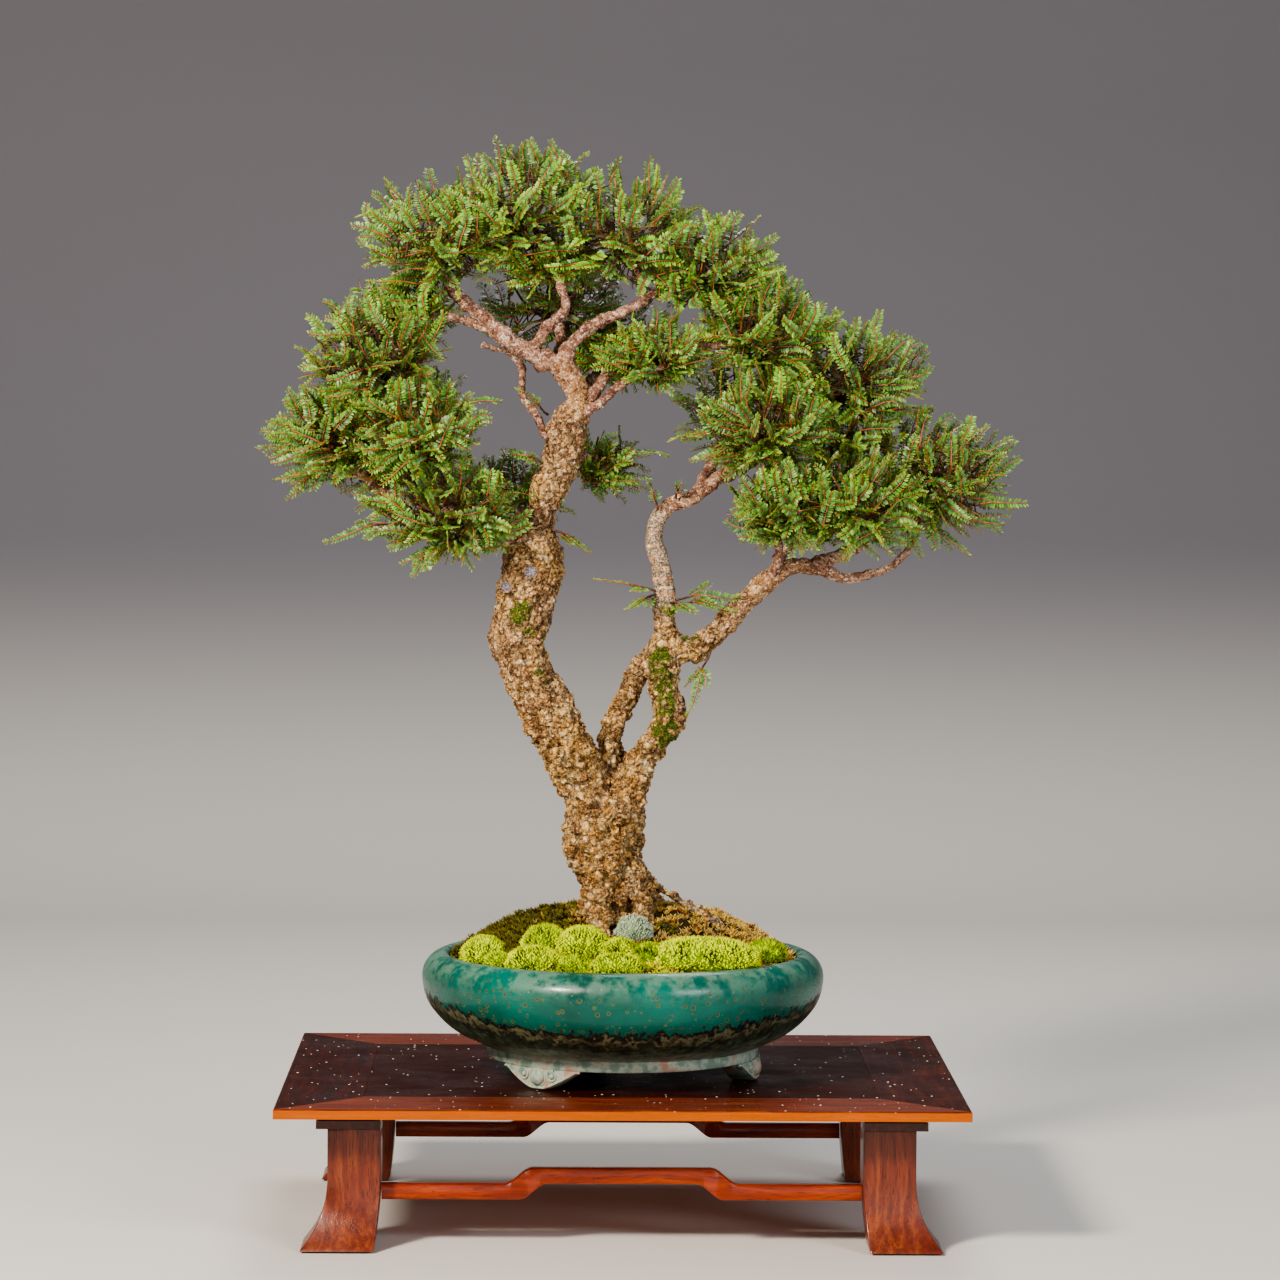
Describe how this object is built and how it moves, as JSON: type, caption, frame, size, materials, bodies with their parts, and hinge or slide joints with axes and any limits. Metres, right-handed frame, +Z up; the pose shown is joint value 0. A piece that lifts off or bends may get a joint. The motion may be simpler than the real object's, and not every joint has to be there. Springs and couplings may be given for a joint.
{
  "type": "seiju chinese elm bonsai",
  "caption": "Two-trunked small-leaved elm bonsai with mossed soil in a round glazed pot, on a low wooden display stand with flared legs.",
  "frame": {"origin": "under the middle of the whole object, on the surface that the stand's feet rest on", "axes": "+Z up, the front of the tree and the stand towards -Y"},
  "size_m": [0.6452, 0.449, 0.9103],
  "materials": {
    "bark": "rough corky bark",
    "leaves": "satin",
    "young_leaves": "satin",
    "soil": "matte",
    "moss_brown": "matte",
    "moss_bright": "matte",
    "moss_pale": "matte",
    "glaze": "satin glaze",
    "mesh": "matte",
    "rosewood": "satin varnish",
    "felt": "matte"
  },
  "bodies": {
    "root": {"drain_screen": "mesh", "foliage_apex_far_right": "young_leaves", "foliage_apex_left": "young_leaves", "foliage_apex_mid": "young_leaves", "foliage_apex_right": "young_leaves", "foliage_back_left": "leaves", "foliage_back_low_left": "leaves", "foliage_back_low_right": "leaves", "foliage_back_mid": "leaves", "foliage_back_right": "leaves", "foliage_back_top": "leaves", "foliage_centre_high": "leaves", "foliage_centre_low": "leaves", "foliage_left_low": "leaves", "foliage_left_mid": "leaves", "foliage_left_outer": "leaves", "foliage_left_top": "leaves", "foliage_mid_right": "leaves", "foliage_right_low": "leaves", "foliage_right_low_left": "leaves", "foliage_right_mid": "leaves", "foliage_right_outer": "leaves", "foliage_right_top": "leaves", "foliage_upper_left": "leaves", "moss_carpet": "moss_brown", "moss_cushion_front": "moss_bright", "moss_cushion_front_left": "moss_bright", "moss_cushion_front_low": "moss_bright", "moss_cushion_front_small": "moss_bright", "moss_cushion_front_wide": "moss_bright", "moss_cushion_left": "moss_bright", "moss_cushion_left_big": "moss_bright", "moss_cushion_left_front": "moss_bright", "moss_cushion_middle": "moss_bright", "moss_cushion_pale": "moss_pale", "moss_cushion_right": "moss_bright", "moss_cushion_right_long": "moss_bright", "pot": "glaze", "soil": "soil", "stand_batten_left": "rosewood", "stand_batten_right": "rosewood", "stand_glide_back_left": "felt", "stand_glide_back_right": "felt", "stand_glide_front_left": "felt", "stand_glide_front_right": "felt", "stand_leg_back_left": "rosewood", "stand_leg_back_right": "rosewood", "stand_leg_front_left": "rosewood", "stand_leg_front_right": "rosewood", "stand_panel": "rosewood", "stand_rail_back": "rosewood", "stand_rail_front": "rosewood", "stand_rail_left": "rosewood", "stand_rail_right": "rosewood", "stand_stretcher_back": "rosewood", "stand_stretcher_front": "rosewood", "tree": "bark"}
  },
  "joints": []
}
